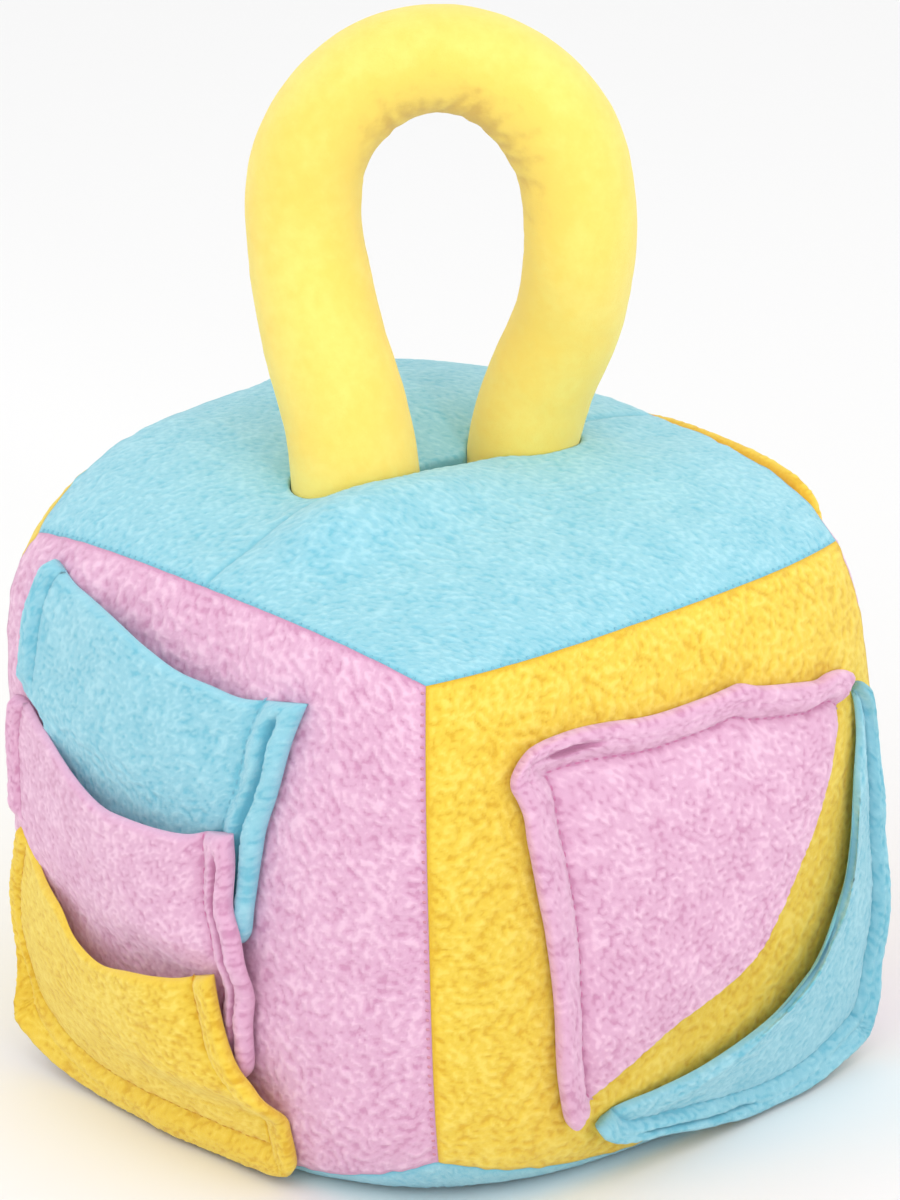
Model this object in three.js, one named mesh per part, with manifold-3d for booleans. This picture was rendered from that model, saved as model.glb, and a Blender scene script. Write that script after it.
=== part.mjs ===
// Snuffle cube for a dog: a stuffed fleece cube with a slit in its top, six treat pockets
// sewn to its sides, and a stuffed loop handle that stands in the slit.
// Millimetres, +Z up. The origin is on the floor, under the middle of the cube.
// The side with three stacked pockets looks along -Y, the side with two corner pockets along +X.

import * as THREE from 'three';
import { mergeVertices } from 'three/addons/utils/BufferGeometryUtils.js';
import Module from 'manifold-3d';

const wasm = await Module();
wasm.setup();

// Cube: the flat box between its eight seam corners
const halfWidth = 80; // middle to the left and right seams, along X
const halfDepth = 77.6; // middle to the front and back seams, along Y
const topCorner = { left: 157.4, near: 153.8, far: 163.9, right: 154 };
const bottomCorner = { left: 11.4, near: 16.9, far: 8.8, right: 8 };

// Stuffing: how square the crown of a face is, and how far its widest line sags
const squareness = 3.15;
const settle = 0.03;

// Each face bows out from that box. A face runs over s and t, from -1 to 1: s is X on the front,
// back, top and bottom and Y on the left and right; t is Z, or Y on the top and bottom.
// crown is the bow at its middle, edges the bow at the middle of its seams at low s, high s,
// low t and high t, and lean makes the crown higher towards low s.
const faces = {
  right: { crown: 19, edges: [7.5, 5.6, 10.8, 8], lean: 0 },
  left: { crown: 19, edges: [9.2, 8, 6.7, 7.8], lean: 0 },
  back: { crown: 19, edges: [8, 8.8, 6.9, 9.6], lean: 0 },
  front: { crown: 19, edges: [7, 8.1, 11.9, 7.3], lean: 0 },
  top: { crown: 19.3, edges: [17.3, 0.7, 7.7, 11], lean: 0.18 },
  bottom: { crown: 22, edges: [3.3, 9.7, 12.5, 3.5], lean: 0 },
};

// Cloth
const fleece = 2.4; // one layer
const fin = 5; // a seam allowance left outside: two layers standing off the cube
const finWidth = 7.5;
const grooveWidth = 1.6; // the dip along the stitches inside a fin
const panelThickness = 3; // fleece with its pile
const seat = 0.45; // clearance under sewn-on cloth
const seamGap = 0.006; // clearance round a side panel, as a share of half the cube
const floorClearance = 0.5; // the lowest pocket edge above the floor

// Slit in the top, and the loop handle that stands in it
const slit = { x: -2, y: 6, length: 62, width: 15, floor: 141, cutHeight: 60 };
// Lip and dip along the slit: where each lies across it, its height, its reach across, and how far
// it runs along Y, all but the heights as a share of half the cube. The lip is higher at the left foot.
const frontLip = { s: 0.17, rise: 3.6, towardsFront: 3, reach: 0.17, run: 0.84 };
const backDip = { s: -0.06, depth: 6, reach: 0.2, run: 0.42 };
const seamCrease = { depth: 1.6, reach: 0.05 };
const handleFoot = { x: -4, y: 6, z: 151 };
const handleLean = { x: 1.5, y: 1.6, from: 172, to: 215 }; // the loop leans a little over these heights
const handleTwist = { low: 6, high: 44, from: 165, to: 245 }; // and turns about Z, in degrees
const socketGap = 0.35; // between the handle's feet and the cloth round them
const handleSteps = 40;
const handleSides = 16;

// Middle line of one leg of the loop: height and distance from the loop's own middle
const legLine = [
  { z: 151, out: 30 },
  { z: 172, out: 28.5 },
  { z: 192, out: 29.4 },
  { z: 213, out: 33.8 },
  { z: 233, out: 36.8 },
  { z: 250, out: 37.7 },
  { z: 264, out: 35.2 },
  { z: 277, out: 27 },
  { z: 286.3, out: 14.4 },
];
const loopTop = 289.5;

// Half thickness of the handle from its left foot over the top to its right foot:
// along is across the loop's plane at the feet, through is square to that plane
const handleThickness = [
  { along: 20, through: 15.4 },
  { along: 17.6, through: 16 },
  { along: 16.6, through: 16.4 },
  { along: 16.4, through: 16.4 },
  { along: 14.7, through: 15.4 },
  { along: 15, through: 15.6 },
  { along: 15.2, through: 15.4 },
  { along: 15.8, through: 15.4 },
  { along: 18, through: 15 },
];

const blue = 0x93dbe8;
const pink = 0xf3b3d6;
const yellow = 0xf8d548;
const paleYellow = 0xfdea7c;

const lerp = THREE.MathUtils.lerp;
const profile = (s) => 1 - Math.abs(s) ** squareness;
const bell = (distance, reach) => Math.exp(-((distance / reach) ** 2));
const plateau = (distance, run) => 1 / (1 + (distance / run) ** 8); // near 1 inside run, near 0 beyond

// Bow of a face at s, t
function bow(face, s, t) {
  const [lowS, highS, lowT, highT] = face.edges;
  const sideBow = lerp(lowS, highS, (s + 1) / 2);
  const endBow = lerp(lowT, highT, (t + 1) / 2);
  const middle = (face.crown - (lowS + highS) / 2 - (lowT + highT) / 2) * (1 - face.lean * s);
  return sideBow * profile(t) + endBow * profile(s) + middle * profile(s) * profile(t);
}

// Height added to the top: the rolled front lip, the back half falling into the slit, the seam
function topRelief(cx, cy) {
  const alongSlit = cy - slit.y / halfDepth;
  const rise = frontLip.rise - frontLip.towardsFront * alongSlit;
  const lip = rise * bell(cx - frontLip.s, frontLip.reach) * plateau(alongSlit, frontLip.run);
  const dipReach = cx < backDip.s ? backDip.reach : backDip.reach / 2;
  const dip = backDip.depth * bell(cx - backDip.s, dipReach) * plateau(alongSlit, backDip.run);
  const crease = seamCrease.depth * bell(cx, seamCrease.reach) * (1 - plateau(alongSlit, frontLip.run));
  return (lip - dip - crease) * profile(cy) * profile(cx);
}

// A point of the cube's cloth surface, from a point of the cube -1 to 1
function cubePoint(cx, cy, cz) {
  const wz = cz + settle * (1 - cz * cz);
  const tx = (cx + 1) / 2;
  const ty = (cy + 1) / 2;
  const tz = (cz + 1) / 2;
  const between = (corner) =>
    lerp(lerp(corner.left, corner.near, tx), lerp(corner.far, corner.right, tx), ty);
  const x = lerp(-halfWidth - bow(faces.left, cy, wz), halfWidth + bow(faces.right, cy, wz), tx);
  const y = lerp(-halfDepth - bow(faces.front, cx, wz), halfDepth + bow(faces.back, cx, wz), ty);
  const low = between(bottomCorner) - bow(faces.bottom, cx, cy);
  const high = between(topCorner) + bow(faces.top, cx, cy) + topRelief(cx, cy);
  return new THREE.Vector3(x, y, Math.max(0, lerp(low, high, tz)));
}

const onFace = {
  front: (s, t) => cubePoint(s, -1, t),
  back: (s, t) => cubePoint(s, 1, t),
  left: (s, t) => cubePoint(-1, s, t),
  right: (s, t) => cubePoint(1, s, t),
  top: (s, t) => cubePoint(s, t, 1),
  bottom: (s, t) => cubePoint(s, t, -1),
};
const outward = {
  front: new THREE.Vector3(0, -1, 0),
  back: new THREE.Vector3(0, 1, 0),
  left: new THREE.Vector3(-1, 0, 0),
  right: new THREE.Vector3(1, 0, 0),
};

// A point that stands off a side face, square to its surface
function offFace(name, s, t, lift) {
  const step = 0.01;
  const place = onFace[name];
  const alongS = place(s + step, t).sub(place(s - step, t));
  const alongT = place(s, t + step).sub(place(s, t - step));
  const normal = alongS.cross(alongT).normalize();
  if (normal.dot(outward[name]) < 0) normal.negate();
  const point = place(s, t).addScaledVector(normal, lift);
  point.z = Math.max(point.z, floorClearance);
  return point;
}

// The same surface, drawn in towards the middle of the cube
const cubeMiddle = new THREE.Vector3(0, 0, 82);
function drawnIn(point, depth) {
  const inward = cubeMiddle.clone().sub(point).normalize();
  return point.clone().addScaledVector(inward, depth);
}

// Grid lines of the cube, closer at the seams and at the slit
const linesX = [-1, -0.92, -0.76, -0.56, -0.38, -0.25, -0.14, -0.03, 0.08, 0.19, 0.34, 0.54, 0.75, 0.92, 1];
const linesY = [-1, -0.92, -0.76, -0.56, -0.36, -0.14, 0.08, 0.3, 0.52, 0.74, 0.91, 1];
const linesZ = [-1, -0.93, -0.79, -0.55, -0.28, 0, 0.28, 0.55, 0.77, 0.92, 1];
const faceLines = {
  front: [linesX, linesZ],
  back: [linesX, linesZ],
  left: [linesY, linesZ],
  right: [linesY, linesZ],
  top: [linesX, linesY],
  bottom: [linesX, linesY],
};

// Closed bodies are gathered as triangles and turned so that their faces point out
function closedGeometry(triangles) {
  let volume = 0;
  for (const [a, b, c] of triangles) volume += a.dot(b.clone().cross(c)) / 6;
  const position = [];
  for (const [a, b, c] of triangles) {
    const turned = volume < 0 ? [a, c, b] : [a, b, c];
    for (const corner of turned) position.push(corner.x, corner.y, corner.z);
  }
  const geometry = new THREE.BufferGeometry();
  geometry.setAttribute('position', new THREE.Float32BufferAttribute(position, 3));
  return mergeVertices(geometry, 1e-4);
}

function addQuad(triangles, a, b, c, d) {
  triangles.push([a, b, c], [a, c, d]);
}

function addGrid(triangles, grid, flip) {
  for (let i = 0; i + 1 < grid.length; i += 1) {
    for (let j = 0; j + 1 < grid[i].length; j += 1) {
      const corners = [grid[i][j], grid[i + 1][j], grid[i + 1][j + 1], grid[i][j + 1]];
      if (flip) addQuad(triangles, corners[0], corners[3], corners[2], corners[1]);
      else addQuad(triangles, corners[0], corners[1], corners[2], corners[3]);
    }
  }
}

// The rim of a grid as one loop of points
function rim(grid) {
  const last = grid.length - 1;
  const end = grid[0].length - 1;
  const loop = [];
  for (let i = 0; i < last; i += 1) loop.push(grid[i][0]);
  for (let j = 0; j < end; j += 1) loop.push(grid[last][j]);
  for (let i = last; i > 0; i -= 1) loop.push(grid[i][end]);
  for (let j = end; j > 0; j -= 1) loop.push(grid[0][j]);
  return loop;
}

// A sheet of cloth between an outer and an inner grid
function sheetGeometry(outer, inner) {
  const triangles = [];
  addGrid(triangles, outer, false);
  addGrid(triangles, inner, true);
  const outerRim = rim(outer);
  const innerRim = rim(inner);
  outerRim.forEach((point, k) => {
    const next = (k + 1) % outerRim.length;
    addQuad(triangles, point, innerRim[k], innerRim[next], outerRim[next]);
  });
  return closedGeometry(triangles);
}

const makeGrid = (linesS, linesT, place) => linesS.map((s) => linesT.map((t) => place(s, t)));

function toSolid(geometry) {
  return new wasm.Manifold(new wasm.Mesh({
    numProp: 3,
    vertProperties: new Float32Array(geometry.attributes.position.array),
    triVerts: new Uint32Array(geometry.index.array),
  }));
}

function fromSolid(solid) {
  const mesh = solid.getMesh();
  const geometry = new THREE.BufferGeometry();
  geometry.setAttribute('position', new THREE.BufferAttribute(new Float32Array(mesh.vertProperties), 3));
  geometry.setIndex(new THREE.BufferAttribute(new Uint32Array(mesh.triVerts), 1));
  return geometry;
}

// Handle: a stuffed tube along the loop, turned about Z on its way up
function loopFrame(z) {
  const { low, high, from, to } = handleTwist;
  const turned = lerp(low, high, THREE.MathUtils.smoothstep(z, from, to));
  const angle = THREE.MathUtils.degToRad(turned);
  return {
    across: new THREE.Vector3(Math.sin(angle), Math.cos(angle), 0),
    through: new THREE.Vector3(Math.cos(angle), -Math.sin(angle), 0),
  };
}

function loopPoint(z, out) {
  const lean = THREE.MathUtils.smoothstep(z, handleLean.from, handleLean.to);
  const middle = new THREE.Vector3(handleFoot.x + handleLean.x * lean, handleFoot.y + handleLean.y * lean, z);
  return middle.addScaledVector(loopFrame(z).across, out);
}

const loopCurve = new THREE.CatmullRomCurve3([
  ...legLine.map((row) => loopPoint(row.z, -row.out)),
  loopPoint(loopTop, 0),
  ...legLine.map((row) => loopPoint(row.z, row.out)).reverse(),
], false, 'centripetal');

function thicknessAt(share) {
  const place = share * (handleThickness.length - 1);
  const row = Math.min(Math.floor(place), handleThickness.length - 2);
  const [a, b] = [handleThickness[row], handleThickness[row + 1]];
  return {
    along: lerp(a.along, b.along, place - row),
    through: lerp(a.through, b.through, place - row),
  };
}

// extra widens the tube and lengthens its feet, for the sockets that are cut with it
function handleGeometry(extra) {
  const rings = [];
  for (let k = 0; k <= handleSteps; k += 1) {
    const share = k / handleSteps;
    const middle = loopCurve.getPointAt(share);
    const tangent = loopCurve.getTangentAt(share);
    const through = loopFrame(middle.z).through;
    const along = tangent.clone().cross(through).normalize();
    const square = along.clone().cross(tangent).normalize();
    const half = thicknessAt(share);
    if (k === 0) middle.addScaledVector(tangent, -extra);
    if (k === handleSteps) middle.addScaledVector(tangent, extra);
    const ring = [];
    for (let side = 0; side < handleSides; side += 1) {
      const angle = (2 * Math.PI * side) / handleSides;
      const point = middle.clone();
      point.addScaledVector(along, (half.along + extra) * Math.cos(angle));
      point.addScaledVector(square, (half.through + extra) * Math.sin(angle));
      ring.push(point);
    }
    rings.push(ring);
  }
  const triangles = [];
  for (let k = 0; k < handleSteps; k += 1) {
    for (let side = 0; side < handleSides; side += 1) {
      const next = (side + 1) % handleSides;
      addQuad(triangles, rings[k][side], rings[k][next], rings[k + 1][next], rings[k + 1][side]);
    }
  }
  for (let side = 1; side + 1 < handleSides; side += 1) {
    const [first, last] = [rings[0], rings[handleSteps]];
    triangles.push([first[0], first[side + 1], first[side]]);
    triangles.push([last[0], last[side], last[side + 1]]);
  }
  return closedGeometry(triangles);
}

// The hollow of the slit between the two feet of the handle: a lens, open at the top
function slitHollow() {
  const outline = new THREE.Shape();
  const halfLength = slit.length / 2;
  const pull = (slit.width / 2) * (4 / 3); // the curve goes three quarters of the way to its control points
  outline.moveTo(slit.x, slit.y - halfLength);
  outline.bezierCurveTo(
    slit.x + pull, slit.y - halfLength / 2,
    slit.x + pull, slit.y + halfLength / 2,
    slit.x, slit.y + halfLength,
  );
  outline.bezierCurveTo(
    slit.x - pull, slit.y + halfLength / 2,
    slit.x - pull, slit.y - halfLength / 2,
    slit.x, slit.y - halfLength,
  );
  const settings = { depth: slit.cutHeight, bevelEnabled: false, curveSegments: 8 };
  const geometry = new THREE.ExtrudeGeometry(outline, settings);
  geometry.translate(0, 0, slit.floor);
  geometry.deleteAttribute('normal');
  geometry.deleteAttribute('uv');
  return mergeVertices(geometry, 1e-4);
}

// The stuffed body: blue top and base show, its four sides are set back under their panels
function bodyGeometry() {
  const triangles = [];
  const setBack = panelThickness + seat;
  const flipped = { front: false, back: true, left: true, right: false, top: false, bottom: true };
  for (const [name, [linesS, linesT]] of Object.entries(faceLines)) {
    const side = name in outward;
    const place = (s, t) => (side ? drawnIn(onFace[name](s, t), setBack) : onFace[name](s, t));
    addGrid(triangles, makeGrid(linesS, linesT, place), flipped[name]);
  }
  for (const name of ['top', 'bottom']) {
    const outer = rim(makeGrid(...faceLines[name], onFace[name]));
    const inner = outer.map((point) => drawnIn(point, setBack));
    outer.forEach((point, k) => {
      const next = (k + 1) % outer.length;
      if (name === 'top') addQuad(triangles, point, inner[k], inner[next], outer[next]);
      else addQuad(triangles, point, outer[next], inner[next], inner[k]);
    });
  }
  const whole = toSolid(closedGeometry(triangles));
  const hollow = toSolid(slitHollow()).add(toSolid(handleGeometry(socketGap)));
  return fromSolid(whole.subtract(hollow));
}

// A side panel: crowned cloth over the stuffing, its edges just inside the seams
function panelGeometry(name) {
  const [linesS, linesT] = faceLines[name];
  const inset = (lines) => lines.map((line) => line * (Math.abs(line) === 1 ? 1 - seamGap : 1));
  const outer = makeGrid(inset(linesS), inset(linesT), onFace[name]);
  const inner = outer.map((row) => row.map((point) => drawnIn(point, panelThickness)));
  return sheetGeometry(outer, inner);
}

// Pockets: sewn down along their fins, open at the mouth. left and right run from the bottom to
// the mouth, bottom and mouth from left to right, all in the face's own s and t.
// gape is the gap at the middle of the mouth, and opens says how late it opens on the way up.
// Below leftFinFrom the left edge lies flat, hidden by the next pocket. ride lifts the right fin
// over the cloth of the pocket above, between the heights from and to. flare is how far the rim
// of a fin stands off further than its stitches, along it and at the bottom left corner.
const tierPockets = [
  {
    name: 'pocket_front_top', colour: blue, gape: 9, opens: 1.4, leftFinFrom: 0.43, ride: null,
    flare: { edge: 0.5, corner: 0 }, fins: ['left', 'right'],
    left: [[-0.52, -0.03], [-0.56, 0.18], [-0.64, 0.38], [-0.775, 0.455], [-0.755, 0.7], [-0.735, 0.93]],
    right: [[0.37, -0.12], [0.435, 0.16], [0.51, 0.48], [0.59, 0.8]],
    bottom: [[-0.52, -0.03], [0.37, -0.12]],
    mouth: [[-0.735, 0.93], [-0.5, 0.885], [-0.2, 0.825], [0.15, 0.78], [0.43, 0.755], [0.59, 0.8]],
  },
  {
    name: 'pocket_front_middle', colour: pink, gape: 12, opens: 1.3, leftFinFrom: 0,
    ride: { from: -0.34, to: -0.16, lift: 4.2 },
    flare: { edge: 1, corner: 0 }, fins: ['left', 'right'],
    left: [[-0.58, -0.48], [-0.6, -0.3], [-0.63, -0.1], [-0.775, 0.035], [-0.8, 0.2], [-0.785, 0.395]],
    right: [[0.375, -0.6], [0.35, -0.4], [0.295, -0.22], [0.262, -0.1], [0.265, 0.05], [0.325, 0.29]],
    bottom: [[-0.58, -0.48], [0.375, -0.6]],
    mouth: [[-0.785, 0.395], [-0.6, 0.29], [-0.4, 0.215], [-0.19, 0.18], [0.04, 0.2], [0.325, 0.29]],
  },
  {
    name: 'pocket_front_bottom', colour: yellow, gape: 13, opens: 0.9, leftFinFrom: -2,
    ride: { from: -0.78, to: -0.64, lift: 6 },
    flare: { edge: 0.5, corner: 7 }, fins: ['left', 'right', 'bottom'],
    left: [[-0.9, -0.93], [-0.86, -0.6], [-0.8, -0.3], [-0.775, -0.1]],
    right: [[0.47, -0.97], [0.39, -0.78], [0.268, -0.62], [0.245, -0.48], [0.228, -0.36], [0.205, -0.26]],
    bottom: [[-0.9, -0.93], [-0.4, -0.985], [0.1, -0.985], [0.47, -0.97]],
    mouth: [[-0.775, -0.1], [-0.6, -0.18], [-0.4, -0.255], [-0.2, -0.32], [0.03, -0.3], [0.205, -0.26]],
  },
];

// Corner pockets: two fins run from the corner to the tips, and the mouth runs from tip to tip
const cornerPockets = [
  {
    name: 'pocket_right_upper', face: 'right', colour: pink, gape: 8,
    flare: { edge: 1, corner: 1 },
    finA: [[-0.71, 0.668], [-0.4, 0.69], [0, 0.68], [0.4, 0.62], [0.75, 0.53]],
    finB: [[-0.71, 0.668], [-0.665, 0.17], [-0.6, -0.27], [-0.53, -0.76]],
    mouth: [
      [0.75, 0.53], [0.655, 0.4], [0.52, 0.19], [0.3, -0.14], [0.14, -0.34], [-0.17, -0.51], [-0.53, -0.76],
    ],
  },
  {
    name: 'pocket_right_lower', face: 'right', colour: blue, gape: 13,
    flare: { edge: 1, corner: 5 },
    finA: [[0.93, -0.95], [0.55, -0.95], [0.24, -0.915], [-0.1, -0.87], [-0.45, -0.79]],
    finB: [[0.93, -0.95], [0.915, -0.5], [0.87, 0], [0.81, 0.49]],
    mouth: [
      [-0.45, -0.79], [-0.27, -0.64], [0.05, -0.54], [0.3, -0.385], [0.467, -0.19], [0.65, 0.15], [0.81, 0.49],
    ],
  },
  {
    name: 'pocket_back', face: 'back', colour: yellow, gape: 9,
    flare: { edge: 1.5, corner: 1 },
    finA: [[0.74, 0.9], [0.4, 0.93], [0, 0.92], [-0.4, 0.85], [-0.75, 0.76]],
    finB: [[0.74, 0.9], [0.7, 0.4], [0.62, -0.1], [0.53, -0.6]],
    mouth: [
      [-0.75, 0.76], [-0.64, 0.6], [-0.47, 0.3], [-0.25, -0.02], [0, -0.25], [0.3, -0.42], [0.53, -0.6],
    ],
  },
];

const curve2 = (points) => new THREE.SplineCurve(points.map(([s, t]) => new THREE.Vector2(s, t)));

// A four-sided patch between four curves
function patch(left, right, bottom, mouth) {
  const corner = [bottom(0), bottom(1), mouth(0), mouth(1)];
  return (a, b) => {
    const point = new THREE.Vector2();
    point.addScaledVector(bottom(a), 1 - b).addScaledVector(mouth(a), b);
    point.addScaledVector(left(b), 1 - a).addScaledVector(right(b), a);
    point.addScaledVector(corner[0], -(1 - a) * (1 - b)).addScaledVector(corner[1], -a * (1 - b));
    point.addScaledVector(corner[2], -(1 - a) * b).addScaledVector(corner[3], -a * b);
    return point;
  };
}

// Grid places across a pocket: fin and groove at a sewn edge, even steps between
const plainSteps = 8;
const cornerFlareFalloff = 5; // how quickly a lifted corner comes down along its fins
function places(length, finAtStart, finAtEnd) {
  const sewn = [finWidth / length, (finWidth + grooveWidth) / length];
  const start = finAtStart ? sewn[1] : 0;
  const end = finAtEnd ? 1 - sewn[1] : 1;
  const list = finAtStart ? [{ at: 0, kind: 'fin' }, { at: sewn[0], kind: 'fin' }] : [];
  for (let k = 0; k <= plainSteps; k += 1) {
    const inside = k / plainSteps;
    const groove = (finAtStart && k === 0) || (finAtEnd && k === plainSteps);
    list.push({ at: lerp(start, end, inside), kind: groove ? 'groove' : 'cloth', inside });
  }
  if (finAtEnd) list.push({ at: 1 - sewn[0], kind: 'fin' }, { at: 1, kind: 'fin' });
  return list;
}

// The pocket's cloth: low under its fins and grooves, standing off the face towards the mouth
function pocketGeometry(face, surface, fins, standOff, base, finShare, flare) {
  const size = (from, to) => from.clone().sub(to).length() * halfWidth;
  const across = places(halfWidth, fins.left, fins.right);
  const up = places(halfWidth, fins.bottom, false);
  const outer = [];
  const inner = [];
  across.forEach((column, i) => {
    outer.push([]);
    inner.push([]);
    up.forEach((row, j) => {
      const height = size(surface(column.at, 0), surface(column.at, 1));
      const b = places(height, fins.bottom, false)[j];
      const width = size(surface(0, b.at), surface(1, b.at));
      const a = places(width, fins.left, fins.right)[i];
      const { x: s, y: t } = surface(a.at, b.at);
      const low = seat + base(a, s, t);
      const sewn = a.kind !== 'cloth' || b.kind !== 'cloth';
      const finned = a.kind === 'fin' || b.kind === 'fin' ? finShare(a, t) : 0;
      const high = low + lerp(fleece, fin, finned);
      const onSide = (fins.left && i === 0) || (fins.right && i === across.length - 1);
      const onRim = onSide || (fins.bottom && j === 0);
      const cornerFlare = flare.corner * ((1 - a.at) * (1 - b.at)) ** cornerFlareFalloff;
      const rimLift = onRim ? finned * (flare.edge + cornerFlare) : 0;
      const lift = sewn ? rimLift : standOff(a.inside, b.inside);
      outer[i].push(offFace(face, s, t, high + lift));
      inner[i].push(offFace(face, s, t, low + lift));
    });
  });
  return sheetGeometry(outer, inner);
}

// How roundly the mouths stand open: a low power opens them over their whole width
const tierRoundness = 0.6;
const cornerRoundness = 0.65;
const finEnds = 0.06; // the height over which a fin dies out under the next pocket

function tierPocketGeometry(pocket) {
  const along = (points) => {
    const curve = curve2(points);
    return (share) => curve.getPointAt(share);
  };
  const surface = patch(
    along(pocket.left), along(pocket.right), along(pocket.bottom), along(pocket.mouth),
  );
  const edges = ['left', 'right', 'bottom'];
  const fins = Object.fromEntries(edges.map((edge) => [edge, pocket.fins.includes(edge)]));
  const standOff = (a, b) => pocket.gape * Math.sin(Math.PI * a) ** tierRoundness * b ** pocket.opens;
  const finShare = (a, t) => (a.at > 0.5 ? 1
    : THREE.MathUtils.smoothstep(t, pocket.leftFinFrom, pocket.leftFinFrom + finEnds));
  const base = (a, s, t) => {
    if (!pocket.ride) return 0;
    const rightShare = THREE.MathUtils.smoothstep(a.at, 0.3, 0.8);
    return pocket.ride.lift * rightShare * THREE.MathUtils.smoothstep(t, pocket.ride.from, pocket.ride.to);
  };
  return pocketGeometry('front', surface, fins, standOff, base, finShare, pocket.flare);
}

function cornerPocketGeometry(pocket) {
  const finA = curve2(pocket.finA);
  const finB = curve2(pocket.finB);
  const mouth = curve2(pocket.mouth);
  const surface = patch(
    (b) => finB.getPointAt(b),
    (b) => mouth.getPointAt(b / 2),
    (a) => finA.getPointAt(a),
    (a) => mouth.getPointAt(1 - a / 2),
  );
  const standOff = (a, b) => pocket.gape * (a * b) ** cornerRoundness;
  const fins = { left: true, right: false, bottom: true };
  return pocketGeometry(pocket.face, surface, fins, standOff, () => 0, () => 1, pocket.flare);
}

const group = new THREE.Group();

function addPiece(name, geometry, color, roughness) {
  const material = new THREE.MeshStandardMaterial({ color, roughness, metalness: 0 });
  const mesh = new THREE.Mesh(geometry, material);
  mesh.name = name;
  group.add(mesh);
}

const fleeceRoughness = 0.95;
const plushRoughness = 0.85;
addPiece('stuffed_body', bodyGeometry(), blue, fleeceRoughness);
addPiece('panel_front', panelGeometry('front'), pink, fleeceRoughness);
addPiece('panel_right', panelGeometry('right'), yellow, fleeceRoughness);
addPiece('panel_back', panelGeometry('back'), pink, fleeceRoughness);
addPiece('panel_left', panelGeometry('left'), yellow, fleeceRoughness);
addPiece('handle', handleGeometry(0), paleYellow, plushRoughness);
for (const pocket of tierPockets) {
  addPiece(pocket.name, tierPocketGeometry(pocket), pocket.colour, fleeceRoughness);
}
for (const pocket of cornerPockets) {
  addPiece(pocket.name, cornerPocketGeometry(pocket), pocket.colour, fleeceRoughness);
}

export default group;
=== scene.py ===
"""Snuffle cube for a dog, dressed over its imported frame: curly fleece, a plush handle, pockets and stitches.

Shapes are worked out in millimetres, and meshes are made in metres. +Z is up. The side with the three
stacked pockets looks along -Y and the side with the two corner pockets along +X.
"""

import math

import bmesh
import bpy
import numpy as np
from mathutils import Matrix


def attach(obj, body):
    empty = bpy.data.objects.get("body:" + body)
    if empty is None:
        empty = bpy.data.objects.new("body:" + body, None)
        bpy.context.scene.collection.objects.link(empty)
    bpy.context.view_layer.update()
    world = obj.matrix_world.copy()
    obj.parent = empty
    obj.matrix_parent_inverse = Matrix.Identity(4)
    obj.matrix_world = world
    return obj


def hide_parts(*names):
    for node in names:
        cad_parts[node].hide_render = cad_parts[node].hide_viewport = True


MM = 0.001
BODY = "root"

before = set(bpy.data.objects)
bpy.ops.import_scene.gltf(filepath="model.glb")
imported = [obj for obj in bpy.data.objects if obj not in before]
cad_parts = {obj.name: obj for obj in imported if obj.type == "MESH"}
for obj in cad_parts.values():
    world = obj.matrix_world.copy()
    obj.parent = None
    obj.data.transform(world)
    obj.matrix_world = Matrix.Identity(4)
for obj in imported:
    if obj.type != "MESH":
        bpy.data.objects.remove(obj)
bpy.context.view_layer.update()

# The cube's own box between its seam corners, and how its faces bow out from it
HALF_WIDTH = 80
HALF_DEPTH = 77.6
HALF_HEIGHT = 75
TOP_CORNER = {"left": 157.4, "near": 153.8, "far": 163.9, "right": 154}
BOTTOM_CORNER = {"left": 11.4, "near": 16.9, "far": 8.8, "right": 8}
SQUARENESS = 3.15
SETTLE = 0.03
SHOULDER = {"power": 8, "left": 6.5, "front": 5}  # how far the front left edge fills out near the top, in mm
MIDDLE = np.array([0, 0, 82])

# For each face its crown, the bow of its seams at low s, high s, low t and high t, and the lean of the crown
# to low s
FACES = {
    "right": (19, 7.5, 5.6, 10.8, 8, 0),
    "left": (19, 9.2, 8, 6.7, 7.8, 0),
    "back": (19, 8, 8.8, 6.9, 9.6, 0),
    "front": (19, 7, 8.1, 11.9, 7.3, 0),
    "top": (19.3, 17.3, 0.7, 7.7, 11, 0.18),
    "bottom": (22, 3.3, 9.7, 12.5, 3.5, 0),
}
OUTWARD = {
    "front": (0, -1, 0),
    "back": (0, 1, 0),
    "left": (-1, 0, 0),
    "right": (1, 0, 0),
    "top": (0, 0, 1),
    "bottom": (0, 0, -1),
}

# Cloth
FLEECE = 2.4
PANEL_THICKNESS = 3
SEAT = 0.45  # gap between a pocket and its panel, and between the panels and the body
SEAM_DIP = {"narrow": 0.35, "wide": 0.7}
FLOOR_CLEARANCE = 0.5
FINE = 0.66  # spacing of the fleece meshes that the photo shows
COARSE = 0.9  # spacing of the others

# The slit in the top, the holes round the handle's two feet at its rim, the lip and dip beside it, the seam
# beyond it, and the roll of its edges, which is wide in front and eases from one y to another
SLIT = {"x": -2, "y": 6, "length": 62, "width": 15, "floor": 143}
RIM_HEIGHT = 174
CORNER_ROUND = 5
FOOT_OUT = 28.6
FOOT_HOLES = [(-1, 18.9, 15.9), (1, 15.9, 15.4)]  # side, and half size across the loop and through it
FRONT_LIP = {"s": 0.17, "rise": 2.5, "towards_front": 14.2, "far": 3.2, "reach": 0.17, "run": 0.84}
BACK_DIP = {"s": -0.06, "depth": 6, "reach": 0.2, "run": 0.42}
SEAM_CREASE = {"depth": 1.6, "reach": 0.05}
TOP_SEAM = {"depth": 0.7, "half_width": 1.1, "from_slit": 14}
ROLL = {"front": 3.2, "front_run": 11, "far_end": 1.2, "elsewhere": 0.8, "wall": 4, "from": 18, "to": 42}

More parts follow.
